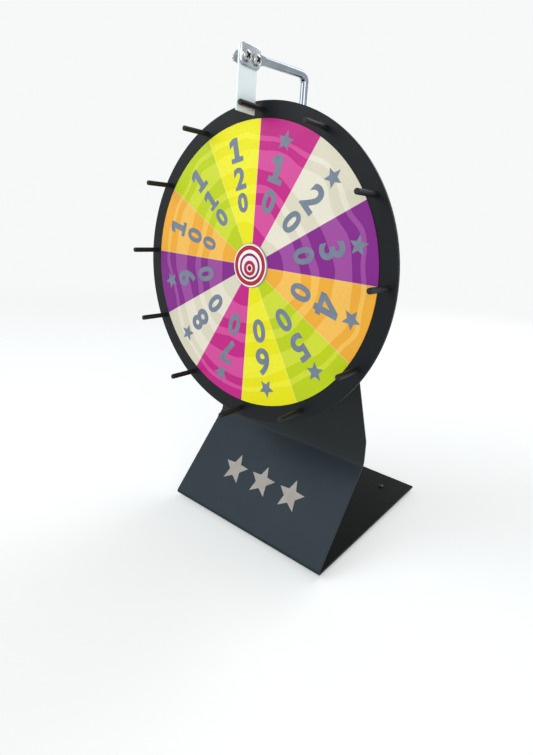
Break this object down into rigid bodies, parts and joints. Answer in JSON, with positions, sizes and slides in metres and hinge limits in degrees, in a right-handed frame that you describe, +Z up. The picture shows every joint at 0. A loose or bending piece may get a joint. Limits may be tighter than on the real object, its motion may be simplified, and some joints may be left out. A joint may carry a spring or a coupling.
{
  "type": "tabletop prize wheel",
  "caption": "Tabletop prize wheel: a coloured dial with rim pegs spins on a bolt axle in front of a bent sheet stand, and a flexible flapper on a bent rod clicks past the pegs.",
  "frame": {"origin": "on the table, at the middle of the object's bounding box seen from above", "axes": "+Z up; the wheel faces -Y and its axle runs along Y; +X to the right as seen from the front"},
  "size_m": [0.3, 0.2495, 0.4733],
  "materials": {
    "black_coated_sheet": "satin black powder coat",
    "black_board": "satin black sheet",
    "dial_print": "printed sectors under a satin film",
    "cap_print": "red and white rings under a gloss film",
    "black_peg": "smooth moulded black",
    "cast_aluminium": "turned and milled",
    "bright_steel": "zinc plated",
    "bearing_steel": "ground",
    "cage_brass": "pressed",
    "black_steel": "blackened",
    "chrome_rod": "polished plating",
    "clamp_screw_chrome": "bright plating",
    "flapper_strip": "pale satin strip",
    "foot_rubber": "matt"
  },
  "bodies": {
    "stand": {"stand_sheet": "black_coated_sheet", "front_left_foot": "foot_rubber", "front_right_foot": "foot_rubber", "rear_left_foot": "foot_rubber", "rear_right_foot": "foot_rubber", "foot_screws": "bright_steel", "axle_bolt": "bright_steel", "axle_washers": "bright_steel", "axle_nut": "bright_steel", "axle_spacer": "bright_steel", "race_spacer": "bright_steel", "front_inner_race": "bearing_steel", "rear_inner_race": "bearing_steel", "arm_block": "cast_aluminium", "arm_block_screws": "bright_steel", "arm_set_screw": "black_steel", "flapper_arm": "chrome_rod", "flapper_root": "flapper_strip", "flapper_screws": "clamp_screw_chrome", "flapper_nuts": "bright_steel"},
    "wheel": {"wheel_board": "black_board", "dial_face": "dial_print", "hub": "cast_aluminium", "hub_screws": "bright_steel", "hub_cap": "cap_print", "front_outer_race": "bearing_steel", "rear_outer_race": "bearing_steel", "peg_01": "black_peg", "peg_02": "black_peg", "peg_03": "black_peg", "peg_04": "black_peg", "peg_05": "black_peg", "peg_06": "black_peg", "peg_07": "black_peg", "peg_08": "black_peg", "peg_09": "black_peg", "peg_10": "black_peg", "peg_11": "black_peg", "peg_12": "black_peg", "peg_screws": "bright_steel"},
    "ball_sets": {"front_balls": "bearing_steel", "rear_balls": "bearing_steel", "front_ball_cage": "cage_brass", "rear_ball_cage": "cage_brass"},
    "flapper": {"flapper_blade": "flapper_strip"}
  },
  "joints": [
    {"name": "wheel_spin", "type": "hinge", "parent": "stand", "child": "wheel", "pos_m": [0, -0.09475, 0.282], "axis": [0, 1, 0], "continuous": true},
    {"name": "ball_orbit", "type": "hinge", "parent": "stand", "child": "ball_sets", "pos_m": [0, -0.09475, 0.282], "axis": [0, 1, 0], "continuous": true},
    {"name": "flapper_flex", "type": "hinge", "parent": "stand", "child": "flapper", "pos_m": [-0.0025, -0.1125, 0.45375], "axis": [0, 1, 0], "range_deg": [0, 42], "stiffness_Nm_per_rad": 0.06}
  ],
  "couplings": [
    {"joint": "ball_orbit", "follows": "wheel_spin", "ratio": 0.63333}
  ]
}
